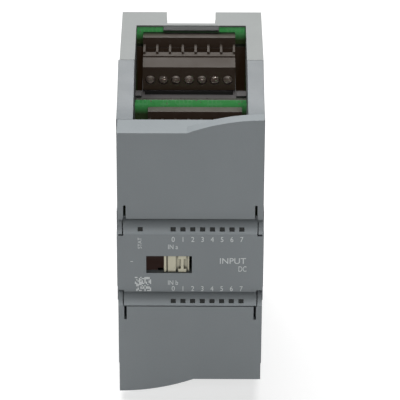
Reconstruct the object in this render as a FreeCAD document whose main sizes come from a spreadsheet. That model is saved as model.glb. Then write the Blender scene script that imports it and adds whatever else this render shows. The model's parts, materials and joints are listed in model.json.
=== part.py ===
import FreeCAD, Part
import os
import Sketcher
from FreeCAD import Placement, Rotation, Vector

# A 45 mm wide plc input module for a 35 mm DIN rail.
# Everything is laid out from the module's own front, bottom and middle: x to the right, y backwards
# from the covers' face, z up from the bottom edge. Each sub-part's Placement then carries it to the
# frame of the part, whose origin is the middle of the face that seats on the rail.

DIMENSIONS = {
    # outside
    "module_width": 45.0, "module_height": 100.0, "module_depth": 73.5, "seat_depth": 68.0,
    "seam_depth": 37.0, "wall": 2.0, "left_inset": 0.4,
    # wiring openings, from the middle of the width
    "bay_half": 17.4, "bay_back": 63.0, "shelf_level": 86.0, "floor_level": 70.0, "floor_wall": 1.5,
    # covers, light bands and their hinges
    "cover_half": 22.04, "cover_thick": 2.0, "cover_edge": 93.05, "cover_peak": 97.4,
    "cover_skirt": 9.2, "lip_thick": 4.2, "lip_start": 20.94, "lip_radius": 63.7,
    "upper_hinge": 61.2, "lower_hinge": 36.05, "hinge_depth": 1.33, "band_radius": 2.83,
    "band_half": 20.4, "ear_gap": 0.35, "hinge_pin": 1.0, "running_gap": 0.06, "pin_start": 18.6,
    "slot_wide": 0.8, "slot_tall": 7.4, "skirt_thick": 1.6,
    # label panel
    "panel_half": 22.3, "panel_low": 39.15, "panel_high": 58.1, "panel_thick": 2.0,
    "window_left": -13.49, "window_right": 0.53, "window_low": 45.14, "window_high": 51.1,
    # lights
    "light_first": -5.2, "light_pitch": 2.98, "status_light": -15.2, "light_wide": 1.6, "light_tall": 1.5,
    # side profile of the front shell
    "slope_depth": 27.0, "slope_level": 95.96, "flat_depth": 12.0, "side_front": 9.4,
    "dish_radius": 40.0, "ear_front": 4.5, "ear_shoulder": 3.1, "latch_in": 18.7, "latch_level": 60.0,
    # boards
    "board_thick": 1.6, "rear_board": 64.9, "front_board_half": 18.4, "rear_board_half": 19.8,
    "link_level": 49.0, "link_mouth": 46.0,
    # terminal blocks
    "pole_pitch": 4.05, "block_half": 14.65, "rear_block_mid": -0.6, "block_front": 44.4,
    "block_back": 59.3, "block_top": 94.0, "block_low": 86.2, "rim_front": 51.9, "rim_top": 94.45,
    "cell_front": 54.7, "cell_back": 58.8, "cell_floor": 87.1, "divider_top": 95.2, "divider_thick": 0.7,
    "header_top": 97.4, "header_face": 59.4, "ridge_gap": 1.2, "cheek_top": 92.8, "cheek_low": 76.2,
    "cheek_thick": 2.4, "pin_level": 89.55, "pin_half": 0.4, "screw_level": 89.55,
    "step_side": 1.9, "step_depth": 27.0, "step_down": 13.0,
    # shelf under the rear block
    "shelf_thick": 1.4, "ledge_front": 38.7, "ledge_back": 41.4, "side_block_back": 42.0,
    "side_block_tall": 0.9,
    # bus connector in the middle of the module
    "bus_front": 7.0, "bus_back": 15.0, "bus_low": 41.0, "bus_high": 55.0,
    "head_left": -22.2, "head_right": -10.0, "slider_left": -8.04, "slider_right": -0.3,
    "contact_first": 43.0, "contact_pitch": 1.25, "contact_row": 1.4, "pin_thick": 0.5,
    "tongue_left": 16.7, "tongue_right": 21.0, "contact_inset": 1.3, "cap_wall": 1.1,
    # rail and clips
    "rail_low": 32.2, "rail_high": 67.8, "clip_half": 7.5, "clip_front": 68.4,
    "clip_back": 71.8, "clip_hook_front": 69.2, "clip_hook_level": 65.0, "clip_top": 95.4,
    "clip_hole_level": 92.0, "clip_hole_radius": 2.15, "clip_slots_low": 72.0, "clip_slots_high": 86.0,
    "notch_front": 64.7, "notch_floor": 97.9, "pocket_half": 8.8,
}
POLES = 7
INPUT_LIGHTS = 8
PAST = 1.0        # how far a cutting tool runs past a face
SLIT = 0.2        # play between neighbouring moulded pieces

doc = FreeCAD.newDocument("plc_module")
sheet = doc.addObject("Spreadsheet::Sheet", "Dims")
subparts = []


class Size(float):
    """A length that also knows its expression, so that every feature stays bound to the sheet."""

    def __new__(cls, number, text):
        size = super().__new__(cls, number)
        size.text = text
        return size

    def __add__(self, other):
        return Size(float(self) + float(other), f"({self.text} + {text_of(other)})")

    def __radd__(self, other):
        return Size(float(other) + float(self), f"({text_of(other)} + {self.text})")

    def __sub__(self, other):
        return Size(float(self) - float(other), f"({self.text} - {text_of(other)})")

    def __rsub__(self, other):
        return Size(float(other) - float(self), f"({text_of(other)} - {self.text})")

    def __mul__(self, other):
        return Size(float(self) * float(other), f"({self.text} * {text_of(other)})")

    __rmul__ = __mul__

    def __truediv__(self, other):
        return Size(float(self) / float(other), f"({self.text} / {text_of(other)})")

    def __neg__(self):
        return Size(-float(self), f"(0 - {self.text})")


def text_of(number):
    return number.text if isinstance(number, Size) else f"{float(number):.6f}"


def fill_sheet():
    """Writes the driving dimensions and returns them by name."""
    for row, (name, number) in enumerate(DIMENSIONS.items(), start=1):
        sheet.set(f"A{row}", name)
        sheet.set(f"B{row}", str(number))
        sheet.setAlias(f"B{row}", name)
    doc.recompute()
    return {name: Size(sheet.get(name), f"Dims.{name}") for name in DIMENSIONS}


D = fill_sheet()
HALF = D["module_width"] / 2
HEIGHT = D["module_height"]
MIDDLE = HEIGHT / 2
LEFT = D["left_inset"] - HALF          # outer left face of the rear housing
BAY = D["bay_half"]
SEAM = D["seam_depth"]
POLE_OFFSETS = [pole - (POLES - 1) / 2 for pole in range(POLES)]


# ---------------------------------------------------------------- building blocks

def bind(item, prop, number):
    item.setExpression(prop, text_of(number))


def move_to(item, x, y, z):
    for axis, number in zip("xyz", (x, y, z)):
        bind(item, f"Placement.Base.{axis}", number)


def box(x, y, z):
    """A block between the low and high value of each pair."""
    item = doc.addObject("Part::Box", "Block")
    for prop, (low, high) in zip(("Length", "Width", "Height"), (x, y, z)):
        bind(item, prop, high - low)
    move_to(item, x[0], y[0], z[0])
    return item


def around(middle, half):
    return (middle - half, middle + half)


def rod_x(y, z, radius, span):
    """A round bar along X."""
    item = doc.addObject("Part::Cylinder", "Bar")
    item.Placement = Placement(Vector(), Rotation(Vector(0, 1, 0), 90))
    bind(item, "Radius", radius)
    bind(item, "Height", span[1] - span[0])
    move_to(item, span[0], y, z)
    return item


def rod_y(x, z, radius, span):
    """A round bar along Y."""
    item = doc.addObject("Part::Cylinder", "Bar")
    item.Placement = Placement(Vector(), Rotation(Vector(1, 0, 0), -90))
    bind(item, "Radius", radius)
    bind(item, "Height", span[1] - span[0])
    move_to(item, x, span[0], z)
    return item


def join(items):
    if len(items) == 1:
        return items[0]
    whole = doc.addObject("Part::MultiFuse", "Joined")
    whole.Shapes = items
    return whole


def cut(base, tools):
    whole = doc.addObject("Part::Cut", "Cut")
    whole.Base = base
    whole.Tool = join(tools)
    return whole


def group(items):
    """Separate solids that share one node."""
    whole = doc.addObject("Part::Compound", "Group")
    whole.Links = items
    return whole


def flipped(item):
    """The same shape mirrored about the middle of the height."""
    twin = doc.addObject("Part::Mirroring", "Mirrored")
    twin.Source = item
    twin.Normal = Vector(0, 0, 1)
    bind(twin, "Base.z", MIDDLE)
    return twin


def both_ends(items):
    """The tools or blocks of the upper end and their mirror images at the lower end."""
    upper = join(items)
    return [upper, flipped(upper)]


def outline_body(plane, corners, start, thickness, bends=None):
    """A body padded from a closed outline; bends gives the radius of a side that is an arc, and whether
    it curves into the outline (1) or out of it (-1), for corners listed anticlockwise."""
    bends = bends or {}
    body = doc.addObject("PartDesign::Body", "Body")
    sketch = body.newObject("Sketcher::SketchObject", "Outline")
    origin_plane = [item for item in body.Origin.OriginFeatures if item.Role == plane][0]
    sketch.AttachmentSupport = [(origin_plane, "")]
    sketch.MapMode = "FlatFace"
    draw_outline(sketch, corners, bends)
    pad = body.newObject("PartDesign::Pad", "Pad")
    pad.Profile = sketch
    pad.Reversed = plane == "XZ_Plane"
    bind(pad, "Length", thickness)
    body.Tip = pad
    move_to(body, *start)
    return body


def draw_outline(sketch, corners, bends):
    count = len(corners)
    ends = []
    for side, (corner, following) in enumerate(zip(corners, corners[1:] + corners[:1])):
        first, last = Vector(*corner, 0), Vector(*following, 0)
        if side in bends:
            ends.append(add_bend(sketch, first, last, *bends[side]))
        else:
            sketch.addGeometry(Part.LineSegment(first, last), False)
            ends.append((1, 2))
    for side, (u, v) in enumerate(corners):
        start_end = ends[side][0]
        before = (side - 1) % count
        sketch.addConstraint(Sketcher.Constraint("Coincident", before, ends[before][1], side, start_end))
        for kind, number in (("DistanceX", u), ("DistanceY", v)):
            row = sketch.addConstraint(Sketcher.Constraint(kind, -1, 1, side, start_end, float(number)))
            sketch.setExpression(f"Constraints[{row}]", text_of(number))
    for side, (radius, _) in bends.items():
        row = sketch.addConstraint(Sketcher.Constraint("Radius", side, float(radius)))
        sketch.setExpression(f"Constraints[{row}]", text_of(radius))


def add_bend(sketch, first, last, radius, inwards):
    """An arc from first to last; returns which of its ends is which."""
    chord = last - first
    left = Vector(-chord.y, chord.x, 0).normalize() * inwards
    rise = float(radius) - (float(radius) ** 2 - (chord.Length / 2) ** 2) ** 0.5
    side = sketch.addGeometry(Part.Arc(first, (first + last) / 2 + left * rise, last), False)
    starts_at_first = (sketch.getPoint(side, 1) - first).Length < (sketch.getPoint(side, 2) - first).Length
    return (1, 2) if starts_at_first else (2, 1)


def subpart(item, label, turned=False):
    """Names a finished piece and carries it to the part's frame; turned rotates it half round Y."""
    item.Label = label
    if turned:
        item.Placement = Placement(Vector(), Rotation(Vector(0, 1, 0), 180))
    move_to(item, 0.0, -D["seat_depth"], MIDDLE if turned else -MIDDLE)
    subparts.append(item)


# ---------------------------------------------------------------- housing

def rear_housing():
    """The rear half: outer shell, wiring bays at both ends, rail channel and the clips' ways."""
    wall, seat = D["wall"], D["seat_depth"]
    inside = (LEFT + wall, HALF - wall)
    back_skin = 1.2
    inner_wall = seat - back_skin
    bay_back, front = D["bay_back"], SEAM - PAST
    back = D["module_depth"] + PAST
    top = HEIGHT + PAST
    shelf_level = D["shelf_level"]
    pocket = D["pocket_half"]
    pocket_low, pocket_high = HEIGHT - 4, HEIGHT - 0.6
    notch = around(0.0, D["clip_half"] + 0.3)
    clip_way = around(0.0, D["clip_half"] + SLIT)
    lip_groove = (D["clip_hook_level"] - 0.8, D["clip_hook_level"] - 0.1)
    upper_tools = [
        box((-BAY, BAY), (front, bay_back), (shelf_level - PAST, top)),
        box((inside[0] + 0.1, inside[1] - 0.1), (bay_back, inner_wall), (MIDDLE, HEIGHT - 2.9)),
        box((pocket, BAY), (bay_back - PAST, inner_wall), (pocket_low, pocket_high)),
        box((-BAY, -pocket), (bay_back - PAST, inner_wall), (pocket_low, pocket_high)),
        box((-pocket, pocket), (bay_back - PAST, D["notch_front"]), (pocket_low, HEIGHT - 1.5)),
        box(notch, (D["notch_front"], back), (D["notch_floor"], top)),
        box(notch, (D["clip_back"] + 0.1, back), (HEIGHT - 11.5, top)),
        box(clip_way, (seat + SLIT, D["clip_back"] + SLIT), (D["rail_high"] - PAST, top)),
        box((-HALF - PAST, HALF + PAST), (seat - 0.4, seat + 0.1), lip_groove),
    ]
    side_rooms = ((BAY + 1.5, inside[1]), (inside[0], -BAY - 1.5))
    upper_tools += [box(side, (SEAM + 1.5, bay_back - 1.5), (shelf_level - PAST, HEIGHT - wall))
                    for side in side_rooms]
    pocket_side = D["clip_half"] + 2.2
    pockets = [(pocket_side, inside[1]), (inside[0], -pocket_side)]
    upper_tools += [box(side, (D["clip_front"] + 1.3, back), level)
                    for side in pockets for level in ((69.8, 83.1), (84.7, 98.0))]
    latch_windows = box((-HALF - PAST, HALF + PAST), (SEAM + 5, SEAM + 8.2), around(D["latch_level"], 4.2))
    tools = both_ends(upper_tools) + both_ends([latch_windows])
    tools.append(box(inside, (front, inner_wall), (HEIGHT - shelf_level, shelf_level)))
    tools.append(box((-HALF - PAST, HALF + PAST), (seat, back), (D["rail_low"], D["rail_high"])))
    under_shelf = shelf_level - D["shelf_thick"]
    shelf_rails = [box(side, (SEAM + 2.5, D["block_front"] - 0.2), (under_shelf - 1.4, under_shelf))
                   for side in ((BAY - 1, inside[1] + 0.1), (inside[0] - 0.1, 1 - BAY))]
    block = box((LEFT, HALF), (SEAM, D["module_depth"]), (0.0, HEIGHT))
    subpart(join([cut(block, tools)] + both_ends(shelf_rails + [rim_lip()])), "rear_housing")


def rim_lip():
    """The sloping lip on the middle of the rear rim, in front of the clip's notch."""
    root = D["bay_back"] + 0.1
    corners = [(root, HEIGHT - 1.5), (root, HEIGHT), (root - 0.75, HEIGHT - 1.3), (root - 0.75, HEIGHT - 1.5)]
    return outline_body("YZ_Plane", corners, (-D["pocket_half"], 0.0, 0.0), D["pocket_half"] * 2)


def front_shell():
    ear_top = D["upper_hinge"] + D["ear_shoulder"]
    ear_low = D["lower_hinge"] - D["ear_shoulder"]
    edge = D["cover_edge"]
    corners = [
        (SEAM, 0.0 * HEIGHT), (SEAM, HEIGHT), (D["slope_depth"], D["slope_level"]), (D["flat_depth"], edge),
        (D["side_front"], edge), (D["side_front"], ear_top), (D["ear_front"], ear_top),
        (D["ear_front"], D["panel_high"]), (D["panel_thick"], D["panel_high"]),
        (D["panel_thick"], D["panel_low"]), (D["ear_front"], D["panel_low"]), (D["ear_front"], ear_low),
        (D["side_front"], ear_low), (D["side_front"], HEIGHT - edge), (D["flat_depth"], HEIGHT - edge),
        (D["slope_depth"], HEIGHT - D["slope_level"]),
    ]
    dishes = {2: (D["dish_radius"], 1), 14: (D["dish_radius"], 1)}
    body = outline_body("YZ_Plane", corners, (-HALF, 0.0, 0.0), D["module_width"], dishes)
    inside = (D["wall"] - HALF, HALF - D["wall"])
    floor_under = D["floor_level"] - D["floor_wall"]
    hollow_in, hollow_out = BAY + 1.5, HALF - 1.8
    hollow_span = (D["flat_depth"], SEAM + PAST)
    hollow_level = (D["floor_level"], edge - 2)
    upper_tools = [
        box((-BAY, BAY), (-PAST, SEAM + PAST), (D["floor_level"], HEIGHT + PAST)),
        box(inside, (-PAST, 2.4), (floor_under - PAST, D["floor_level"] + PAST)),
        box((hollow_in, hollow_out), hollow_span, hollow_level),
        box((-hollow_out, -hollow_in), hollow_span, hollow_level),
    ]
    bus_opening = box((-HALF - PAST, HALF + PAST), (D["bus_front"] - SLIT, D["bus_back"] + SLIT),
                      (D["bus_low"] - SLIT, D["bus_high"] + SLIT))
    room = box(inside, (-PAST, SEAM + PAST), (HEIGHT - floor_under, floor_under))
    hollow = cut(body, both_ends(upper_tools) + [bus_opening, room])
    wall, arm_in = D["wall"], D["latch_in"]
    latches = []
    for sign, outer in ((1, HALF), (-1, HALF - D["left_inset"])):
        latches += both_ends([
            mirrored_box(sign, (arm_in, HALF - wall + 0.1), (SEAM - 7, SEAM)),
            mirrored_box(sign, (arm_in, outer - wall - SLIT), (SEAM - 7, SEAM + 9)),
            mirrored_box(sign, (arm_in + 0.3, outer - wall + 1.2), (SEAM + 5.2, SEAM + 7.8)),
        ])
    subpart(join([hollow] + latches), "front_shell")


def mirrored_box(sign, x, y):
    """A snap latch block on the right side (sign 1) or the left side (sign -1)."""
    side = x if sign > 0 else (-x[1], -x[0])
    return box(side, y, around(D["latch_level"], 3.8))


def light_places(hinge, with_status):
    places = [D["light_first"] + D["light_pitch"] * light for light in range(INPUT_LIGHTS)]
    if with_status:
        places.append(D["status_light"])
    return [(place, hinge) for place in places]


LIGHTS = light_places(D["upper_hinge"], True) + light_places(D["lower_hinge"], False)


def front_panel():
    depth = D["hinge_depth"]
    hinges = (D["upper_hinge"], D["lower_hinge"])
    bands = [rod_x(depth, hinge, D["band_radius"], (-D["band_half"], D["band_half"])) for hinge in hinges]
    thick = (0.0, D["panel_thick"])
    plates = [
        box((-D["panel_half"], D["panel_half"]), thick, (D["panel_low"], D["panel_high"])),
        box((-D["band_half"], D["band_half"]), thick, (D["lower_hinge"], D["upper_hinge"])),
    ]
    rail_span = (D["panel_thick"] - 0.1, D["bus_back"])
    rail_levels = ((D["bus_high"] + SLIT, D["bus_high"] + 1.3), (D["bus_low"] - 1.3, D["bus_low"] - SLIT))
    rails = [box((-19.5, 0.5), rail_span, level) for level in rail_levels]
    tools = [box((D["window_left"], D["window_right"]), (-PAST, D["panel_thick"] + PAST),
                 (D["window_low"], D["window_high"]))]
    for x, z in LIGHTS:
        tools.append(box(around(x, D["light_wide"] / 2), (-3.0, 6.0), around(z, D["light_tall"] / 2)))
    hole = D["hinge_pin"] + D["running_gap"]
    hole_start = D["pin_start"] - 0.3
    for hinge in hinges:
        for span in ((hole_start, D["band_half"] + PAST), (-D["band_half"] - PAST, -hole_start)):
            tools.append(rod_x(depth, hinge, hole, span))
    subpart(cut(join(bands + plates + rails), tools), "front_panel")


def cover(label, hinge, turned=False):
    """A hinged cover: flat plate, raised lip with an arched corner, top flange, side skirts and ears."""
    half = D["cover_half"]
    wide = half * 2
    plate_low = hinge + 1.5
    edge, peak = D["cover_edge"], D["cover_peak"]
    zero = 0.0 * half
    arch = {2: (D["lip_radius"], -1)}
    lip_low = edge - 1.6
    corner = (D["lip_start"], edge)
    plate_corners = [(zero, plate_low), (wide, plate_low), (wide, peak), corner, (zero, edge)]
    plate = outline_body("XZ_Plane", plate_corners, (-half, 0.0, 0.0), D["cover_thick"], arch)
    lip_corners = [(D["lip_start"], lip_low), (wide, lip_low), (wide, peak), corner]
    lip = outline_body("XZ_Plane", lip_corners, (-half, 0.0, 0.0), D["lip_thick"], arch)
    flange = box((-half, half), (0.0, D["cover_skirt"]), (lip_low, edge))
    inner = half - D["skirt_thick"]
    skirt_low = hinge + 3.3
    skirts = [box(side, (0.0, D["cover_skirt"]), (skirt_low, edge))
              for side in ((inner, half), (-half, -inner))]
    band_room = rod_x(D["hinge_depth"], hinge, D["band_radius"] + 0.27,
                      (-D["band_half"] - SLIT, D["band_half"] + SLIT))
    slot_in, slot_out = D["band_half"] - D["slot_wide"], D["band_half"]
    slots = [box(side, (-PAST, D["cover_thick"] + PAST), (hinge, hinge + D["slot_tall"]))
             for side in ((slot_in, slot_out), (-slot_out, -slot_in))]
    shell = cut(join([plate, lip, flange] + skirts), [band_room] + slots)
    ear_in = D["band_half"] + D["ear_gap"]
    ears = [rod_x(D["hinge_depth"], hinge, D["band_radius"], side)
            for side in ((ear_in, half), (-half, -ear_in))]
    pins = [rod_x(D["hinge_depth"], hinge, D["hinge_pin"], side)
            for side in ((D["pin_start"], ear_in + 0.1), (-ear_in - 0.1, -D["pin_start"]))]
    subpart(join([shell] + ears + pins), label, turned)


# ---------------------------------------------------------------- boards, lights and electronics

def circuit_boards():
    low = HEIGHT - D["shelf_level"] + 0.7
    span = (SEAM, SEAM + D["board_thick"])
    main = box((-D["front_board_half"], D["front_board_half"]), span, (low, HEIGHT - low))
    tongues = both_ends([box((0.1 - BAY, BAY - 0.1), span, (HEIGHT - low - 0.1, D["shelf_level"] + 0.2))])
    subpart(cut(join([main] + tongues), locating_holes(15.5, 15.0, SEAM)), "front_board")
    face = D["rear_board"]
    span = (face, face + D["board_thick"])
    main = box((-D["rear_board_half"], D["rear_board_half"]), span, (3.1, HEIGHT - 3.1))
    tabs = both_ends([box(side, span, (HEIGHT - 4, HEIGHT - 0.7)) for side in ((8.9, 17.3), (-17.3, -8.9))])
    subpart(cut(join([main] + tabs), locating_holes(17.0, 10.0, face)), "rear_board")


def locating_holes(aside, above, face):
    """Four holes through a board, on a rectangle about its middle."""
    through = (face - PAST, face + D["board_thick"] + PAST)
    return [rod_y(x, MIDDLE + z, 1.6, through) for x in (-aside, aside) for z in (-above, above)]


def light_guide(label, hinge, bar_left, with_status):
    """A comb of clear pipes from the board to the light windows."""
    side_play = 0.05
    half_wide = D["light_wide"] / 2 - side_play
    half_tall = D["light_tall"] / 2 - side_play
    front = D["hinge_depth"] - D["band_radius"] + 0.08
    pipes = [box(around(x, half_wide), (front, SEAM - 1.4), around(z, half_tall))
             for x, z in light_places(hinge, with_status)]
    bar_right = D["light_first"] + D["light_pitch"] * (INPUT_LIGHTS - 1) + half_wide
    bridge = box((bar_left, bar_right), (20.0, 22.0), around(hinge, half_tall))
    subpart(join(pipes + [bridge]), label)


def light_chips():
    chips = [box(around(x, 0.8), (SEAM - 1.3, SEAM), around(z, 0.6)) for x, z in LIGHTS]
    subpart(group(chips), "status_led_chips")


def electronics():
    face = D["rear_board"]
    columns = (-14.0, -8.5, 8.5, 14.0)
    couplers = [box(around(x, 1.8), (face - 2.2, face), around(MIDDLE + z, 2.3))
                for x in columns for z in (-23.0, 23.0)]
    subpart(group(couplers), "optocouplers")
    resistors = [box(around(x, 0.8), (face - 0.6, face), around(MIDDLE + z, 1.6))
                 for x in columns for z in (-17.0, -13.0, 13.0, 17.0)]
    subpart(group(resistors), "input_resistors")
    chip_face = SEAM + D["board_thick"]
    chip = box(around(0.0, 6.0), (chip_face, chip_face + 1.4), around(MIDDLE + 16, 6.0))
    subpart(group([chip]), "controller_chip")
    cans = [rod_y(x, MIDDLE + 6.5, 3.15, (face - 8, face)) for x in (-15.0, 15.0)]
    subpart(group(cans), "capacitors")
    link_board_to_board(face, chip_face)


def link_board_to_board(face, chip_face):
    """The stacking connector between the boards: a pin block and the socket that it enters."""
    middle = D["link_level"]
    rows = around(middle, 1.4)
    columns = [step * 2.54 for step in range(-4, 5)]
    wide, level = around(0.0, 12.0), around(middle, 3.0)
    mouth = D["link_mouth"]
    socket = box(wide, (mouth, face), level)
    holes = [box(around(x, 0.45), (mouth - PAST, mouth + 9), around(z, 0.45)) for x in columns for z in rows]
    subpart(cut(socket, holes), "board_link_socket")
    block = box(wide, (chip_face, mouth - 3), level)
    pins = [box(around(x, 0.32), (mouth - 3.1, mouth + 7), around(z, 0.32)) for x in columns for z in rows]
    subpart(join([block] + pins), "board_link_plug")


# ---------------------------------------------------------------- wiring shelves and terminal blocks

def shelf():
    """A ledge, a slot behind it, the floor under the rear block and a raised block each side."""
    level = D["shelf_level"]
    under = level - D["shelf_thick"]
    half = BAY - 0.05
    left, right = around(D["rear_block_mid"], D["block_half"] + 0.15)
    front, back = D["ledge_front"], D["block_front"] - 0.1
    plate = box((-half, half), (front, back), (under, level))
    slot = box((left + 1, right - 1), (D["ledge_back"], back - 0.1), (under - PAST, level + PAST))
    beside = (level - 0.1, level + D["side_block_tall"])
    return join([
        cut(plate, [slot]),
        box((left, right), (back - 0.2, D["rear_board"] - 0.1), (under, level)),
        box((-half, left), (front, D["side_block_back"]), beside),
        box((right, half), (front, D["side_block_back"]), beside),
    ])


class TerminalPlace:
    """Where a terminal block sits: the rear one on the shelf, the front one a step lower and forward."""

    def __init__(self, stepped):
        self.stepped = stepped
        self.mid = D["rear_block_mid"] + (D["step_side"] if stepped else 0.0)
        self.back_by = -D["step_depth"] if stepped else 0.0
        self.down_by = -D["step_down"] if stepped else 0.0
        self.board = SEAM if stepped else D["rear_board"]

    def span(self, low, high):
        return (low + self.back_by, high + self.back_by)

    def level(self, low, high):
        return (low + self.down_by, high + self.down_by)

    def poles(self):
        return [self.mid + D["pole_pitch"] * offset for offset in POLE_OFFSETS]

    def pin_levels(self):
        return self.level(*around(D["pin_level"], D["pin_half"]))


def header(place):
    """The fixed half on the board: a ridge on top, pin holes and a recess behind each pole."""
    face = D["header_face"] + place.back_by
    body = box(around(place.mid, D["block_half"]), (face, place.board),
               place.level(D["block_low"] - 0.2, D["header_top"]))
    tools = []
    for x in place.poles():
        tools.append(box(around(x, D["pin_half"]), (face - PAST, place.board + PAST), place.pin_levels()))
        tools.append(box(around(x, 1.3), (face - PAST, face + 0.5), place.level(91.3, 93.6)))
    behind_ridge = (place.board - D["ridge_gap"], place.board + PAST)
    tools.append(box((-BAY, BAY), behind_ridge, place.level(D["header_top"] - 1, D["header_top"] + PAST)))
    if not place.stepped:
        body = join([body] + header_cheeks(place))
    return cut(body, tools)


def header_cheeks(place):
    """Wings that close the bay beside the rear header and reach down past the shelf."""
    outer = BAY - 0.1
    shelf_left, shelf_right = around(place.mid, D["block_half"] + 0.25)
    span = (place.board - D["cheek_thick"], place.board)
    upper = (D["block_low"] - 0.1, D["cheek_top"])
    lower = (D["cheek_low"], D["block_low"])
    return [box((-outer, outer), span, upper), box((-outer, shelf_left), span, lower),
            box((shelf_right, outer), span, lower)]


def header_pins(place):
    span = (54.8 + place.back_by, place.board)
    return group([box(around(x, D["pin_half"]), span, place.pin_levels()) for x in place.poles()])


def terminal_plug(place):
    """The removable block: wire cells open upwards, screw holes face the front, pin slots the back."""
    half = D["block_half"] - 0.15
    top = D["block_top"]
    front, rim, cell, back = (D[name] for name in ("block_front", "rim_front", "cell_front", "block_back"))
    block = box(around(place.mid, half), place.span(front, back), place.level(D["block_low"], top))
    ridge = box(around(place.mid, half), place.span(rim, cell), place.level(top - 0.1, D["rim_top"]))
    walls = [place.mid + D["pole_pitch"] * (step - POLES / 2) for step in range(POLES + 1)]
    dividers = [box(around(x, D["divider_thick"] / 2), place.span(cell - 1.3, back),
                    place.level(top - 0.1, D["divider_top"])) for x in walls]
    tools = []
    floor, cell_back = D["cell_floor"], D["cell_back"]
    screw_level = D["screw_level"] + place.down_by
    for x in place.poles():
        cell_wide = around(x, 1.62)
        tools.append(box(cell_wide, place.span(cell, cell_back), place.level(floor + 4, top + PAST)))
        tools.append(box(cell_wide, place.span(cell - 2, cell_back), place.level(floor, floor + 5.2)))
        tools.append(box(around(x, 0.7), place.span(cell_back - 0.5, back + PAST),
                         place.level(*around(D["pin_level"], 0.8))))
        for radius, reach in ((1.6, front + 2.5), (1.15, front + 8.6)):
            tools.append(rod_y(x, screw_level, radius, place.span(front - PAST, reach)))
    return cut(join([block, ridge] + dividers), tools)


def terminal_screws(place):
    screws = []
    level = D["screw_level"] + place.down_by
    head_face = D["block_front"] + 0.7
    for x in place.poles():
        head = rod_y(x, level, 1.4, place.span(head_face, head_face + 1.7))
        shank = rod_y(x, level, 1.0, place.span(head_face + 1.6, head_face + 9.1))
        slot = box(around(x, 1.5), place.span(head_face - 0.3, head_face + 0.6), around(level, 0.25))
        screws.append(cut(join([head, shank]), [slot]))
    return group(screws)


def wire_cages(place):
    cages = []
    floor = D["cell_floor"]
    for x in place.poles():
        cage = box(around(x, 1.5), place.span(53.3, 58.5), place.level(floor, floor + 4.6))
        mouth = box(around(x, 1.05), place.span(54.1, 59.5), place.level(floor + 0.9, floor + 5.9))
        screw_hole = rod_y(x, D["screw_level"] + place.down_by, 1.05, place.span(52.5, 54.5))
        cages.append(cut(cage, [mouth, screw_hole]))
    return group(cages)


def terminal_blocks():
    for end in ("upper", "lower"):
        pieces = [("terminal_shelf", shelf())]
        for name, stepped in (("rear", False), ("front", True)):
            place = TerminalPlace(stepped)
            pieces += [
                (f"{name}_header", header(place)),
                (f"{name}_header_pins", header_pins(place)),
                (f"{name}_plug", terminal_plug(place)),
                (f"{name}_terminal_screws", terminal_screws(place)),
                (f"{name}_wire_cages", wire_cages(place)),
            ]
        for name, item in pieces:
            subpart(flipped(item) if end == "lower" else item, f"{end}_{name}")


# ---------------------------------------------------------------- bus connector

CONTACTS = 9
CONTACT_LEVELS = [D["contact_first"] + D["contact_pitch"] * step for step in range(CONTACTS)]


def bus_carriage():
    """The carriage behind the panel: its head slides out of the left side to meet the next module."""
    front, back, low, high = D["bus_front"], D["bus_back"], D["bus_low"], D["bus_high"]
    head_left, head_right, arm_right = D["head_left"], D["head_right"], D["slider_right"] - 0.2
    head = box((head_left, head_right), (front, back), (low, high))
    arm = box((head_right - 0.1, arm_right), (front, front + 3), (low + 2, high - 2))
    neck = box((D["slider_left"] + 0.24, arm_right), (3.0, front + 0.1),
               (D["window_low"] + 0.5, D["window_high"] - 0.5))
    mouth_end = head_left + 5.2
    mouth = box((head_left - PAST, mouth_end), (front + 1, back - 1), (low + 1, high - 1))
    rows = around((front + back) / 2, D["contact_row"])
    pin_half = D["pin_thick"] / 2
    seat_end = mouth_end + 3
    seats = [box((mouth_end - 0.5, seat_end), around(y, pin_half), around(z, pin_half))
             for y in rows for z in CONTACT_LEVELS]
    subpart(cut(join([head, arm, neck]), [mouth] + seats), "bus_carriage")
    pins = [box((head_left + 0.4, seat_end), around(y, pin_half), around(z, pin_half))
            for y in rows for z in CONTACT_LEVELS]
    subpart(group(pins), "bus_plug_pins")


def bus_slider():
    """The finger slider in the window: end strip, groove, flat block, and a rib shaped like an I."""
    low, high = D["window_low"] + 0.08, D["window_high"] - 0.08
    left, right = D["slider_left"], D["slider_right"]
    under = 1.4
    base = box((left, right), (under - 0.1, 3.0), (low, high))
    bar = 1.2
    raised = [
        box((left, left + 0.75), (0.5, under), (low, high)),
        box((left + 1.15, left + 3.65), (0.6, under), (low, high)),
        box((left + 4.35, left + 6.85), (0.4, under), (low, low + bar)),
        box((left + 4.35, left + 6.85), (0.4, under), (high - bar, high)),
        box((left + 5.15, left + 6.05), (0.4, under), (low, high)),
        box((right - 0.5, right), (0.9, under), (low, high)),
    ]
    subpart(join([base] + raised), "bus_slider")


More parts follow.
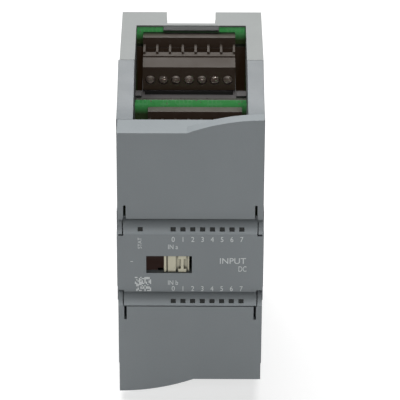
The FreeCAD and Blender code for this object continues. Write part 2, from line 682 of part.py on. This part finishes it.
def bus_socket():
    """The socket in the right side that takes the next module's head, and the cap pushed over it."""
    front, back, low, high = D["bus_front"], D["bus_back"], D["bus_low"], D["bus_high"]
    left, right, inset = D["tongue_left"], D["tongue_right"], D["contact_inset"]
    base = box((left - 4.7, left + 0.1), (front - 0.5, back + 0.5), (low - 0.5, high + 0.5))
    stem = box((left - 4.1, left - 0.5), (back + 0.4, SEAM), around((low + high) / 2, 2.0))
    tongue = box((left, right), (front + inset, back - inset), (low + inset, high - inset))
    slot_start = left + 0.5
    slot_depth, contact_thick = 0.5, 0.3
    tongue_front, tongue_back = front + inset - 0.1, back - inset + 0.1
    slot_spans = ((tongue_front, tongue_front + slot_depth), (tongue_back - slot_depth, tongue_back))
    slots = [box((slot_start, right + PAST), span, around(z, 0.3))
             for z in CONTACT_LEVELS for span in slot_spans]
    subpart(cut(join([base, stem, tongue]), slots), "bus_socket")
    contact_spans = ((tongue_front + slot_depth - contact_thick, tongue_front + slot_depth),
                     (tongue_back - slot_depth, tongue_back - slot_depth + contact_thick))
    contacts = [box((slot_start, right - 0.4), span, around(z, 0.3))
                for z in CONTACT_LEVELS for span in contact_spans]
    subpart(group(contacts), "bus_socket_contacts")
    bus_socket_cap(front, back, low, high)


def bus_socket_cap(front, back, low, high):
    plate_in, wall = D["tongue_right"] + 0.2, D["cap_wall"]
    plate = box((plate_in, HALF - 0.05), (front - 0.1, back + 0.1), (low - 0.1, high + 0.1))
    rim = box((D["tongue_left"] + 0.7, plate_in + 0.1), (front, back), (low, high))
    inside = box((D["tongue_left"] - 0.7, plate_in), (front + wall, back - wall), (low + wall, high - wall))
    grip = box((HALF - 0.6, HALF + PAST), (front + 2.5, back - 2.5), (low + 5.5, high - 5.5))
    subpart(cut(join([plate, rim]), [inside, grip]), "bus_socket_cap")


# ---------------------------------------------------------------- rail clips

def rail_clip():
    half = D["clip_half"]
    hook_top = D["rail_high"] + 0.4
    through = (D["clip_front"] - PAST, D["clip_back"] + PAST)
    plate = box((-half, half), (D["clip_front"], D["clip_back"]), (hook_top, D["clip_top"]))
    hook = box((-half, half), (D["clip_hook_front"], D["clip_back"]),
               (D["clip_hook_level"], hook_top + 0.1))
    hole = rod_y(0.0, D["clip_hole_level"], D["clip_hole_radius"], through)
    slots = [box(side, through, (D["clip_slots_low"], D["clip_slots_high"]))
             for side in ((-4.9, -3.4), (-1.5, 1.5), (3.4, 4.9))]
    return cut(join([plate, hook]), [hole] + slots)


def rail_clips():
    subpart(rail_clip(), "upper_rail_clip")
    subpart(flipped(rail_clip()), "lower_rail_clip")


# ---------------------------------------------------------------- the whole module

def build():
    rear_housing()
    front_shell()
    front_panel()
    cover("upper_cover", D["upper_hinge"])
    cover("lower_cover", HEIGHT - D["lower_hinge"], turned=True)
    circuit_boards()
    light_guide("upper_light_guide", D["upper_hinge"], -16.0, True)
    light_guide("lower_light_guide", D["lower_hinge"], -6.0, False)
    light_chips()
    electronics()
    terminal_blocks()
    bus_carriage()
    bus_slider()
    bus_socket()
    rail_clips()


def check():
    """Stops with the names of failed features, before anything is written."""
    bad = [item.Name for item in doc.Objects if "Invalid" in item.State or "Error" in item.State]
    bad += [item.Label for item in subparts if item.Shape.isNull() or not item.Shape.isValid()]
    if bad:
        raise RuntimeError("failed features: " + ", ".join(bad))


def write_parts():
    os.makedirs("parts", exist_ok=True)
    for item in subparts:
        item.Shape.exportStep(os.path.join("parts", item.Label + ".step"))
        print(f"{item.Label:32s} solids {len(item.Shape.Solids):3d}  volume {item.Shape.Volume:10.1f} mm3")


build()
doc.recompute()
check()
write_parts()
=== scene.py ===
import json
import math
import random

import bmesh
import bpy
from mathutils import Matrix, Vector


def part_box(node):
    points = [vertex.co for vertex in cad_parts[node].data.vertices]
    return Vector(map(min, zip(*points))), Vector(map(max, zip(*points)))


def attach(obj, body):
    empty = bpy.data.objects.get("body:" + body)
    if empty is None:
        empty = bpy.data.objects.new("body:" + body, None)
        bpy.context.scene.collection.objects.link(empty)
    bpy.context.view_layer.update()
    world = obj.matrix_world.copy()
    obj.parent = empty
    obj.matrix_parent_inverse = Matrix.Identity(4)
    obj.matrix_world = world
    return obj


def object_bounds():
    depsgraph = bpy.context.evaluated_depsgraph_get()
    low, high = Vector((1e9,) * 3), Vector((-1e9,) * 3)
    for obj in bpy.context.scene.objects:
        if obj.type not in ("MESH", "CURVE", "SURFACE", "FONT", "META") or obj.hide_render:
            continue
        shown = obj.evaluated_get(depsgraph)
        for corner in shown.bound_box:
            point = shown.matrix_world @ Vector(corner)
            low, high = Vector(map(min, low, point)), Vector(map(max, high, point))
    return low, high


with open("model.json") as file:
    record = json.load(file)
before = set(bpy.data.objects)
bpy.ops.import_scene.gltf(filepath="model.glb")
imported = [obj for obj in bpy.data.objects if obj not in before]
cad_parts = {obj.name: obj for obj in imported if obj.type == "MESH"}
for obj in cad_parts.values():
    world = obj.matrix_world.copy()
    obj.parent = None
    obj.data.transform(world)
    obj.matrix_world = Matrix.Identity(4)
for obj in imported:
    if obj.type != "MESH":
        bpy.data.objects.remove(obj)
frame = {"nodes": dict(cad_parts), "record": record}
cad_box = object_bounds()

# The finished look of a DIN rail plc input module. x runs to the right, y backwards to the rail,
# z up, in metres, and the origin is the middle of the face that seats on the rail.

MM = 0.001
NODES = frame["nodes"]


# ---------------------------------------------------------------- camera, floor and light

CAMERA_SPOT = Vector((1.3, -751.9, 384.2)) * MM
CAMERA_PITCH = math.radians(28.0)
CAMERA_YAW = math.radians(0.135)
CAMERA_ROLL = math.radians(-0.256)
CAMERA_LENS = 230.75


def add_camera():
    """The main view: a long lens from the front, looking down."""
    ahead = Vector((math.sin(CAMERA_YAW) * math.cos(CAMERA_PITCH),
                    math.cos(CAMERA_YAW) * math.cos(CAMERA_PITCH), -math.sin(CAMERA_PITCH)))
    level = Vector((math.cos(CAMERA_YAW), -math.sin(CAMERA_YAW), 0))
    down = ahead.cross(level)
    right = level * math.cos(CAMERA_ROLL) + down * math.sin(CAMERA_ROLL)
    up = level * math.sin(CAMERA_ROLL) - down * math.cos(CAMERA_ROLL)
    data = bpy.data.cameras.new("camera")
    data.lens = CAMERA_LENS
    data.clip_start = 0.01
    camera = bpy.data.objects.new("camera", data)
    turn = Matrix((right, up, -ahead)).transposed().to_4x4()
    camera.matrix_world = Matrix.Translation(CAMERA_SPOT) @ turn
    bpy.context.scene.collection.objects.link(camera)
    bpy.context.scene.camera = camera


def add_light(name, spot, aim, size, power):
    """A soft rectangular light that points at aim."""
    data = bpy.data.lights.new(name, "AREA")
    data.shape = "RECTANGLE"
    data.size, data.size_y = size
    data.energy = power
    light = bpy.data.objects.new(name, data)
    light.location = spot
    light.rotation_euler = (Vector(aim) - Vector(spot)).to_track_quat("-Z", "Y").to_euler()
    bpy.context.scene.collection.objects.link(light)


HORIZON_BAND = (0.04, 0.20)     # rise of the direction where the pale band starts to fade, and ends
BAND_STRENGTH = 0.30
ROOM_STRENGTH = 0.06


def studio_world():
    """A dim room with a pale band along the horizon."""
    world = bpy.data.worlds.new("studio")
    world.use_nodes = True
    tree = world.node_tree
    height = tree.nodes.new("ShaderNodeSeparateXYZ")
    tree.links.new(tree.nodes.new("ShaderNodeTexCoord").outputs["Generated"], height.inputs[0])
    fade = tree.nodes.new("ShaderNodeMapRange")
    for socket, number in zip(fade.inputs[1:5], (*HORIZON_BAND, BAND_STRENGTH, ROOM_STRENGTH)):
        socket.default_value = number
    tree.links.new(height.outputs["Z"], fade.inputs[0])
    tree.links.new(fade.outputs[0], tree.nodes["Background"].inputs["Strength"])
    tree.nodes["Background"].inputs["Color"].default_value = (1, 1, 1, 1)
    return world


# name: (place, aim, size, power), in metres and watts
LIGHTS = {
    "top_light": ((-0.2, 0.6, 1.55), (0, -0.03, 0), (1.7, 1.3), 48),
    "front_light": ((-0.25, -0.9, 0.35), (0, -0.05, 0), (0.5, 0.4), 0.10),
    "glint_light": ((0.12, -0.80, 0.66), (0, -0.03, 0.03), (0.06, 0.05), 0.75),
}
FLOOR_REACH = 3.0


def add_studio():
    """A white floor under soft light from above and a little from the front."""
    scene = bpy.context.scene
    scene.view_settings.view_transform = "Standard"
    scene.world = studio_world()
    for name, (spot, aim, size, power) in LIGHTS.items():
        add_light(name, spot, aim, size, power)
    mesh = bpy.data.meshes.new("floor")
    level = cad_box[0][2]
    corners = [(-FLOOR_REACH, -FLOOR_REACH), (FLOOR_REACH, -FLOOR_REACH), (FLOOR_REACH, FLOOR_REACH),
               (-FLOOR_REACH, FLOOR_REACH)]
    mesh.from_pydata([(x, y, level) for x, y in corners], [], [(0, 1, 2, 3)])
    floor = bpy.data.objects.new("floor", mesh)
    bpy.context.scene.collection.objects.link(floor)
    floor.data.materials.append(plain_floor())


# ---------------------------------------------------------------- materials

def linear(red, green, blue):
    """Display values from 0 to 255 as linear colour."""
    def channel(value):
        value /= 255
        return value / 12.92 if value <= 0.04045 else ((value + 0.055) / 1.055) ** 2.4
    return (channel(red), channel(green), channel(blue), 1)


class Nodes:
    """A material's node tree with short calls."""

    def __init__(self, name):
        self.material = bpy.data.materials.new(name)
        self.material.use_nodes = True
        self.tree = self.material.node_tree
        self.shader = self.tree.nodes["Principled BSDF"]
        self.spot = self.add("ShaderNodeTexCoord").outputs["Object"]

    def add(self, kind, **settings):
        """A new node with its properties set."""
        node = self.tree.nodes.new(kind)
        for key, value in settings.items():
            setattr(node, key, value)
        return node

    def link(self, source, target):
        self.tree.links.new(source, target)

    def put(self, node, **values):
        """Sets or links a node's inputs by name, with _ for a space, and returns the node."""
        for key, value in values.items():
            socket = node.inputs[key.replace("_", " ")]
            if hasattr(value, "is_linked"):
                self.link(value, socket)
            else:
                socket.default_value = value
        return node

    def noise(self, size_mm, detail=2.0, stretch=(1, 1, 1)):
        """Noise whose features are about size_mm across."""
        mapping = self.put(self.add("ShaderNodeMapping"), Vector=self.spot, Scale=stretch)
        node = self.put(self.add("ShaderNodeTexNoise"), Vector=mapping.outputs["Vector"],
                        Scale=1 / (size_mm * MM), Detail=detail, Roughness=0.55)
        return node.outputs["Fac"]

    def span(self, value, low, high, from_low=0.3, from_high=0.7):
        """The value mapped from its own range to low..high, and held there."""
        node = self.add("ShaderNodeMapRange", clamp=True)
        for socket, number in zip(node.inputs[1:5], (from_low, from_high, low, high)):
            socket.default_value = number
        self.link(value, node.inputs[0])
        return node.outputs[0]

    def mix(self, factor, first, second, blend="MIX"):
        """The first colour where factor is 0, the second where it is 1."""
        node = self.add("ShaderNodeMix", data_type="RGBA", blend_type=blend)
        for spot, value in ((0, factor), (6, first), (7, second)):
            socket = node.inputs[spot]
            if hasattr(value, "is_linked"):
                self.link(value, socket)
            else:
                socket.default_value = value
        return node.outputs[2]

    def maths(self, operation, first, second=0.0):
        node = self.add("ShaderNodeMath", operation=operation)
        for socket, value in zip(node.inputs, (first, second)):
            if hasattr(value, "is_linked"):
                self.link(value, socket)
            else:
                socket.default_value = value
        return node.outputs[0]

    def bump(self, height, depth_mm, strength=1.0, after=None):
        """A normal from a height map, on top of an earlier bump if there is one."""
        node = self.put(self.add("ShaderNodeBump"), Strength=strength, Distance=depth_mm * MM,
                        Height=height)
        if after is not None:
            self.link(after, node.inputs["Normal"])
        return node.outputs["Normal"]

    def normal_y(self):
        """How far a face looks backwards: -1 for the front, 0 for sides, top and underside."""
        true_normal = self.add("ShaderNodeNewGeometry").outputs["True Normal"]
        return self.put(self.add("ShaderNodeSeparateXYZ"), Vector=true_normal).outputs["Y"]

    def front_facing(self):
        """1 on faces towards the front, 0 elsewhere."""
        return self.span(self.normal_y(), 1, 0, -0.8, -0.5)

    def edges(self, radius_mm):
        """1 along convex and concave edges, 0 on flats."""
        bevel = self.put(self.add("ShaderNodeBevel", samples=4), Radius=radius_mm * MM)
        true_normal = self.add("ShaderNodeNewGeometry").outputs["True Normal"]
        dot = self.add("ShaderNodeVectorMath", operation="DOT_PRODUCT")
        self.link(bevel.outputs[0], dot.inputs[0])
        self.link(true_normal, dot.inputs[1])
        return self.span(dot.outputs["Value"], 1.0, 0.0, 0.85, 0.99)


FLOOR_GLOW = 0.69
FLOOR_DARKER = (0.32, 0.32, 0.32, 1)
FLOOR_LIGHTER = (0.34, 0.34, 0.34, 1)


def plain_floor():
    """A white table lit from inside, so that shadows on it stay pale."""
    n = Nodes("studio_floor")
    shade = n.mix(n.span(n.noise(220), 0, 1), FLOOR_DARKER, FLOOR_LIGHTER)
    n.put(n.shader, Base_Color=shade, Roughness=0.6, Emission_Color=(1, 1, 1, 1),
          Emission_Strength=FLOOR_GLOW)
    return n.material


def scaled(colour, factor, lift=0.0):
    """The colour times a factor plus a lift, at most 1, and opaque."""
    return tuple(min(1, c * factor + lift) for c in colour[:3]) + (1,)


def moulded(name, colour, roughness=0.48, grain_mm=0.22, grain_depth=0.012, edge=0.10, gloss=0.4,
            front_glow=None, groove_shade_mm=0.0):
    """Injection-moulded plastic: fine spark texture, faint flow marks and lightly rubbed edges.

    A given glow colour is painted on front faces in place of light; painted shade darkens grooves of the
    given size in mm.
    """
    n = Nodes(name)
    flow = n.span(n.noise(26, 3, (1, 1, 0.45)), 0.965, 1.035)
    speck = n.span(n.noise(0.5, 1), 0.985, 1.015)
    tone = n.maths("MULTIPLY", flow, speck)
    grey = n.put(n.add("ShaderNodeCombineColor"), Red=tone, Green=tone, Blue=tone)
    shade = n.mix(1.0, colour, grey.outputs[0], "MULTIPLY")
    rubbed = n.maths("MULTIPLY", n.edges(0.3), n.span(n.noise(3.5, 4), 0.1, edge * 2.2))
    shade = n.mix(rubbed, shade, scaled(colour, 1.5, 0.02))
    # painted shade: grooves darken where ambient occlusion finds them enclosed
    if groove_shade_mm:
        groove_occlusion = n.put(n.add("ShaderNodeAmbientOcclusion", samples=6), Distance=groove_shade_mm * MM)
        shade = n.mix(n.span(groove_occlusion.outputs["AO"], 1, 0, 0.45, 0.95), shade, scaled(colour, 0.35))
    scuff = n.span(n.noise(7, 6, (1, 1, 3)), -0.05, 0.05)
    n.put(n.shader, Base_Color=shade, Roughness=n.maths("ADD", roughness, scuff),
          Specular_IOR_Level=gloss)
    # painted glow on front faces, standing in for light
    if front_glow:
        n.put(n.shader, Emission_Color=front_glow, Emission_Strength=n.front_facing())
    grain = n.bump(n.noise(grain_mm, 2), grain_depth, 0.8)
    waviness = n.bump(n.noise(14, 1), 0.02, 0.4, after=grain)
    n.link(waviness, n.shader.inputs["Normal"])
    return n.material


BRIGHT_EDGE = (0.9, 0.88, 0.82, 1)


def metal(name, colour, roughness=0.3, scratch_mm=0.12):
    """Plated metal: brushed streaks, tarnish in patches and bright rubbed edges."""
    n = Nodes(name)
    tarnish = n.span(n.noise(1.4, 4), 0, 1)
    shade = n.mix(tarnish, scaled(colour, 0.62), colour)
    shade = n.mix(n.maths("MULTIPLY", n.edges(0.15), 0.5), shade, BRIGHT_EDGE)
    streaks = n.noise(scratch_mm, 3, (1, 0.12, 1))
    uneven = n.span(streaks, roughness - 0.08, roughness + 0.12)
    n.put(n.shader, Base_Color=shade, Metallic=1.0, Roughness=uneven)
    n.link(n.bump(streaks, 0.006, 0.7), n.shader.inputs["Normal"])
    return n.material


SCREW_COUNT = 7
SCREW_DOME = 3.2            # mm, radius of the domed heads
WORN_SCREWS = (1, 5)        # counted from 0
PLAIN_SLOPE = 0.16          # fall of a head's upper half towards its rim
WORN_SLOPE = 0.50
FACET_START = -0.1          # mm above the head's middle
# painted glow on the heads, standing in for light bounced onto them
SCREW_PAINTED_BOUNCE = (0.020, 0.015, 0.013, 1)


def matches(n, count, number):
    """1 where count is the number, otherwise 0."""
    return n.maths("LESS_THAN", n.maths("ABSOLUTE", n.maths("SUBTRACT", count, number)), 0.5)


def screw_heads():
    """Zinc-plated screws in a row: domed heads with slight tool marks, two of them worn at the top, and
    a faint painted glow standing in for bounced light.
    """
    low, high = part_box("upper_rear_terminal_screws")
    across = (high.z - low.z) / MM
    row = (high.x - low.x) / MM
    pitch = (row - across) / (SCREW_COUNT - 1)
    n = Nodes("screw_steel")
    box_share = n.add("ShaderNodeTexCoord").outputs["Generated"]
    share = n.put(n.add("ShaderNodeSeparateXYZ"), Vector=box_share)
    place_in_row = n.maths("MULTIPLY", share.outputs["X"], row)
    along = n.maths("SUBTRACT", place_in_row, across / 2 - pitch / 2)
    side = n.maths("SUBTRACT", n.maths("MODULO", along, pitch), pitch / 2)
    up = n.maths("MULTIPLY", n.maths("SUBTRACT", share.outputs["Z"], 0.5), across)
    reach = n.maths("ADD", n.maths("MULTIPLY", side, side), n.maths("MULTIPLY", up, up))
    dome = n.maths("SQRT", n.maths("MAXIMUM", n.maths("SUBTRACT", SCREW_DOME ** 2, reach), 0.05))
    count = n.maths("FLOOR", n.maths("DIVIDE", along, pitch))
    worn = n.maths("ADD", *(matches(n, count, number) for number in WORN_SCREWS))
    slope = n.maths("ADD", PLAIN_SLOPE, n.maths("MULTIPLY", worn, WORN_SLOPE - PLAIN_SLOPE))
    facet = n.maths("MULTIPLY", n.maths("MAXIMUM", n.maths("SUBTRACT", up, FACET_START)), slope)
    head = n.maths("SUBTRACT", dome, facet)
    tarnish = n.span(n.noise(1.4, 4), 0, 1)
    shade = n.mix(tarnish, linear(178, 166, 156), linear(240, 230, 220))
    rough = n.maths("SUBTRACT", n.span(n.noise(0.8, 2), 0.26, 0.50), n.maths("MULTIPLY", worn, 0.12))
    # the heads get a faint painted glow in place of bounced light
    n.put(n.shader, Base_Color=shade, Metallic=0.85, Roughness=rough,
          Emission_Color=SCREW_PAINTED_BOUNCE, Emission_Strength=1.0)
    marks = n.bump(n.noise(0.9, 3), 0.22, 0.9)
    n.link(n.bump(head, 1.0, 1.0, after=marks), n.shader.inputs["Normal"])
    return n.material


BOARD_PAINTED_GLOW = 0.10           # a faint painted glow that stands in for light on the board
OPENING_SLOPE = 0.4516      # fall of the wiring opening per mm towards the front
BOARD_UNSHADED_FROM = 48.6           # mm from the middle of the height, at the rail face: fresh green, with no painted shade, beyond this
BOARD_SHADED_WITHIN = 45.4           # full painted olive shade within this
VIA_TIN = (0.45, 0.55, 0.36, 1)


def circuit_board():
    """Green solder mask over copper runs and tinned vias, painted olive shade deep inside below the
    openings, a faint painted glow in place of light, and dull cut edges.
    """
    n = Nodes("circuit_board")
    parts = n.put(n.add("ShaderNodeSeparateXYZ"), Vector=n.spot)
    mask = linear(112, 238, 134)
    copper = linear(130, 242, 150)
    lanes = None
    for axis, pitch in (("X", 1.27), ("Z", 1.9)):
        wave = n.maths("SINE", n.maths("MULTIPLY", parts.outputs[axis], 2 * math.pi / (pitch * MM)))
        routed = n.span(n.noise(4.5, 0), 0, 1, 0.48, 0.5)
        lane = n.maths("MULTIPLY", n.span(wave, 0, 1, 0.35, 0.5), routed)
        lanes = lane if lanes is None else n.maths("MAXIMUM", lanes, lane)
    shade = n.mix(lanes, mask, copper)
    cell = n.put(n.add("ShaderNodeTexVoronoi"), Vector=n.spot, Scale=1 / (2.6 * MM))
    via = n.span(cell.outputs["Distance"], 1, 0, 0.09, 0.12)
    shade = n.mix(via, shade, VIA_TIN)
    # painted shade: the board turns olive below the wiring openings, where little light reaches
    nearness = n.maths("SUBTRACT", n.maths("ABSOLUTE", parts.outputs["Z"]),
                       n.maths("MULTIPLY", parts.outputs["Y"], OPENING_SLOPE))
    lit_share = n.span(nearness, 0, 1, BOARD_SHADED_WITHIN * MM, BOARD_UNSHADED_FROM * MM)
    shade = n.mix(lit_share, linear(66, 82, 46), shade)
    face_on = n.span(n.maths("ABSOLUTE", n.normal_y()), 0, 1, 0.4, 0.7)
    shade = n.mix(face_on, linear(60, 60, 54), shade)
    # the board's own colour as a faint painted glow, standing in for light
    n.put(n.shader, Base_Color=shade, Roughness=n.span(n.noise(2, 3), 0.22, 0.4),
          Metallic=n.maths("MULTIPLY", via, 0.8), Emission_Color=shade, Emission_Strength=BOARD_PAINTED_GLOW)
    weave = n.bump(n.noise(0.4, 1), 0.006, 0.5)
    n.link(n.bump(n.maths("ADD", lanes, via), 0.03, 0.8, after=weave), n.shader.inputs["Normal"])
    return n.material


def light_pipe():
    """Smoky clear plastic with a slightly uneven surface."""
    n = Nodes("light_pipe")
    shade = n.mix(n.span(n.noise(0.8, 2), 0, 1), linear(24, 28, 26), linear(38, 42, 40))
    n.put(n.shader, Base_Color=shade, Roughness=n.span(n.noise(0.6, 2), 0.08, 0.2),
          Transmission_Weight=0.25, IOR=1.5, Specular_IOR_Level=0.15)
    n.link(n.bump(n.noise(0.5, 2), 0.004, 0.5), n.shader.inputs["Normal"])
    return n.material


def print_ink(name, colour):
    """Pad-printed ink: slightly uneven cover with a soft sheen."""
    n = Nodes(name)
    worn = n.span(n.noise(0.3, 3), 0.75, 1.0, 0.3, 0.6)
    shade = n.mix(worn, scaled(colour, 0.7), colour)
    n.put(n.shader, Base_Color=shade, Roughness=n.span(n.noise(0.9, 2), 0.4, 0.6))
    n.link(n.bump(n.noise(0.15, 2), 0.004, 0.6), n.shader.inputs["Normal"])
    return n.material


def make_materials():
    """A material for each slot of the CAD nodes, and one more for the carriage."""
    return {
        "dark_grey_plastic": moulded("cover_plastic", linear(132, 138, 141)),
        "grey_plastic": moulded("shell_plastic", linear(120, 125, 128)),
        "light_grey_plastic": moulded("rear_plastic", linear(143, 146, 145), roughness=0.52),
        "circuit_board": circuit_board(),
        "light_guide": light_pipe(),
        "light_chip": moulded("light_chip_plastic", linear(225, 222, 205), 0.3, 0.1, 0.004),
        "black_resin": moulded("black_resin", linear(38, 38, 40), 0.55, 0.12, 0.01),
        "ceramic": moulded("chip_ceramic", linear(30, 30, 34), 0.35, 0.1, 0.006),
        "can_metal": metal("can_aluminium", linear(205, 205, 208), 0.32),
        "shelf_plastic": moulded("shelf_plastic", linear(80, 77, 77), 0.4, 0.2, 0.01, 0.16, 0.5),
        "connector_plastic": moulded("connector_plastic", linear(46, 46, 50), 0.42, 0.18, 0.01, 0.15,
                                     0.5),
        "contact_metal": metal("tinned_contact", linear(150, 141, 120), 0.4),
        # painted shade darkens the slider's grooves
        "beige_plastic": moulded("slider_plastic", linear(204, 200, 176), 0.38, 0.15, 0.006, 0.12, 0.5,
                                  groove_shade_mm=0.9),
        # painted glow on the carriage's front faces, standing in for light
        "carriage_plastic": moulded("carriage_plastic", linear(48, 46, 48), 0.42, 0.18, 0.01, 0.15, 0.5,
                                     front_glow=(0.018, 0.010, 0.008, 1)),
        "clip_plastic": moulded("clip_plastic", linear(120, 122, 124), 0.45, 0.2, 0.01),
        # faint painted glow on the terminal blocks' front faces, standing in for light
        "terminal_plastic": moulded("terminal_plastic", linear(72, 65, 59), 0.36, 0.25, 0.012, 0.22, 0.5,
                                     front_glow=(0.008, 0.004, 0.002, 1)),
        "screw_metal": screw_heads(),
    }


# ---------------------------------------------------------------- CAD nodes with moulded edges

EDGE_WIDTHS = {             # mm
    "rear_housing": 0.30, "front_shell": 0.30, "front_panel": 0.16,
    "upper_cover": 0.28, "lower_cover": 0.28, "upper_rail_clip": 0.3, "lower_rail_clip": 0.3,
    "bus_slider": 0.12, "bus_carriage": 0.15, "bus_socket_cap": 0.2,
    "status_led_chips": 0.08, "input_resistors": 0.08,
}
for end in ("upper", "lower"):
    for row in ("rear", "front"):
        EDGE_WIDTHS[f"{end}_{row}_terminal_screws"] = 0.2
SMALL_EDGE = 0.10           # mm, for every other node
WELD_WITHIN = 0.002
FLAT_WITHIN = math.radians(0.6)
SHARP_ABOVE = math.radians(35)


def round_edges(node):
    """Joins the coplanar triangles and rounds the sharp edges as a mould would."""
    thing = NODES[node]
    weld = thing.modifiers.new("weld", "WELD")
    weld.merge_threshold = WELD_WITHIN * MM
    flats = thing.modifiers.new("flats", "DECIMATE")
    flats.decimate_type = "DISSOLVE"
    flats.angle_limit = FLAT_WITHIN
    triangles = thing.modifiers.new("triangles", "TRIANGULATE")
    triangles.min_vertices = 5
    bevel = thing.modifiers.new("rounding", "BEVEL")
    bevel.width = EDGE_WIDTHS.get(node, SMALL_EDGE) * MM
    bevel.segments = 2
    bevel.limit_method = "ANGLE"
    bevel.angle_limit = SHARP_ABOVE
    bevel.use_clamp_overlap = not node.endswith("terminal_screws")
    bevel.harden_normals = True


def finish_nodes(materials):
    """Gives every CAD node its material and its rounded edges."""
    for entry in frame["record"]["subparts"]:
        thing = NODES[entry["node"]]
        thing.data.materials.clear()
        slot = "carriage_plastic" if entry["node"] == "bus_carriage" else entry["material_slot"]
        thing.data.materials.append(materials[slot])
        for face in thing.data.polygons:
            face.use_smooth = False
        round_edges(entry["node"])


# ---------------------------------------------------------------- printing on the panel

PRINT_PROUD = 0.015 * MM
BAND_BULGE = 1.5 * MM
PANEL_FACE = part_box("front_panel")[0].y + BAND_BULGE


def piece_from(mesh, name, body, material):
    """Shows a mesh as a piece that moves with the body."""
    piece = bpy.data.objects.new(name, mesh)
    bpy.context.scene.collection.objects.link(piece)
    mesh.materials.clear()
    mesh.materials.append(material)
    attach(piece, body)
    return piece


def print_words(name, words, x, z, size, material, turned=False, narrow=1.0):
    """Printed letters on the panel, their middle at x, z; turned ones read upwards. Sizes in mm."""
    curve = bpy.data.curves.new(name, "FONT")
    curve.body = words
    curve.size = size * MM
    curve.extrude = PRINT_PROUD
    curve.align_x = "CENTER"
    curve.align_y = "CENTER"
    text = bpy.data.objects.new(name + "_curve", curve)
    bpy.context.scene.collection.objects.link(text)
    bpy.context.view_layer.update()
    mesh = bpy.data.meshes.new_from_object(text.evaluated_get(bpy.context.evaluated_depsgraph_get()))
    bpy.data.objects.remove(text)
    upright = Matrix.Rotation(math.radians(90), 4, "X")
    tilt = Matrix.Rotation(math.radians(90 if turned else 0), 4, "Z")
    squeeze = Matrix.Diagonal((narrow, 1, 1, 1))
    mesh.transform(Matrix.Translation((x * MM, PANEL_FACE, z * MM)) @ upright @ tilt @ squeeze)
    return piece_from(mesh, name, "housing", material)


def print_blocks(name, blocks, material):
    """Printed rectangles on the panel, each (left, low, right, high) in mm."""
    shape = bmesh.new()
    for left, low, right, high in blocks:
        middle = Vector(((left + right) / 2 * MM, PANEL_FACE, (low + high) / 2 * MM))
        size = Vector(((right - left) * MM, 2 * PRINT_PROUD, (high - low) * MM, 1))
        bmesh.ops.create_cube(shape, size=1, matrix=Matrix.Translation(middle) @ Matrix.Diagonal(size))
    mesh = bpy.data.meshes.new(name)
    shape.to_mesh(mesh)
    shape.free()
    return piece_from(mesh, name, "housing", material)


DOT_CELL = 0.42             # mm
DOT_SIZE = DOT_CELL * 0.92
DOT_SHARE = 0.52            # share of the cells that are inked
DOT_COUNT = 12              # cells along each side


def dot_patch(left, low):
    """A square patch of cells, half of them inked at random, with no border: it says nothing."""
    chance = random.Random(5)
    blocks = []
    for column in range(DOT_COUNT):
        for row in range(DOT_COUNT):
            if chance.random() < DOT_SHARE:
                x, z = left + column * DOT_CELL, low + row * DOT_CELL
                blocks.append((x, z, x + DOT_SIZE, z + DOT_SIZE))
    return blocks


LIGHT_COUNT = 8
LIGHT_FIRST = -5.2          # mm from the middle of the width
LIGHT_PITCH = 2.98
LETTER = 1.9                # mm, height of the printed figures
CAPITAL_SHARE = 0.71        # height of a capital letter as a share of the font size


def add_prints(ink):
    """Figures beside the lights, a few plain words and a patch of dots on the label panel."""
    size = LETTER / CAPITAL_SHARE
    for row, z in (("upper", 6.85), ("lower", -10.4)):
        for number in range(LIGHT_COUNT):
            x = LIGHT_FIRST + number * LIGHT_PITCH
            print_words(f"figure_{row}_{number}", str(number), x, z, size * 0.92, ink, narrow=0.85)
    print_words("word_inputs_a", "IN a", -5.3, 4.25, size * 0.85, ink, narrow=0.8)
    print_words("word_inputs_b", "IN b", -5.3, -8.3, size * 0.85, ink, narrow=0.8)
    print_words("word_kind", "INPUT", 13.0, -0.65, size * 1.08, ink)
    print_words("word_current", "DC", 16.0, -3.45, size, ink, narrow=0.68)
    print_words("word_status", "STAT", -15.35, 5.6, size * 0.62, ink, turned=True)
    print_blocks("tick", [(-18.3, -0.9, -17.5, -0.72)], ink)
    print_blocks("dot_patch", dot_patch(-17.0, -11.25), ink)


def main():
    materials = make_materials()
    add_camera()
    add_studio()
    finish_nodes(materials)
    add_prints(print_ink("white_ink", linear(214, 218, 218)))


main()
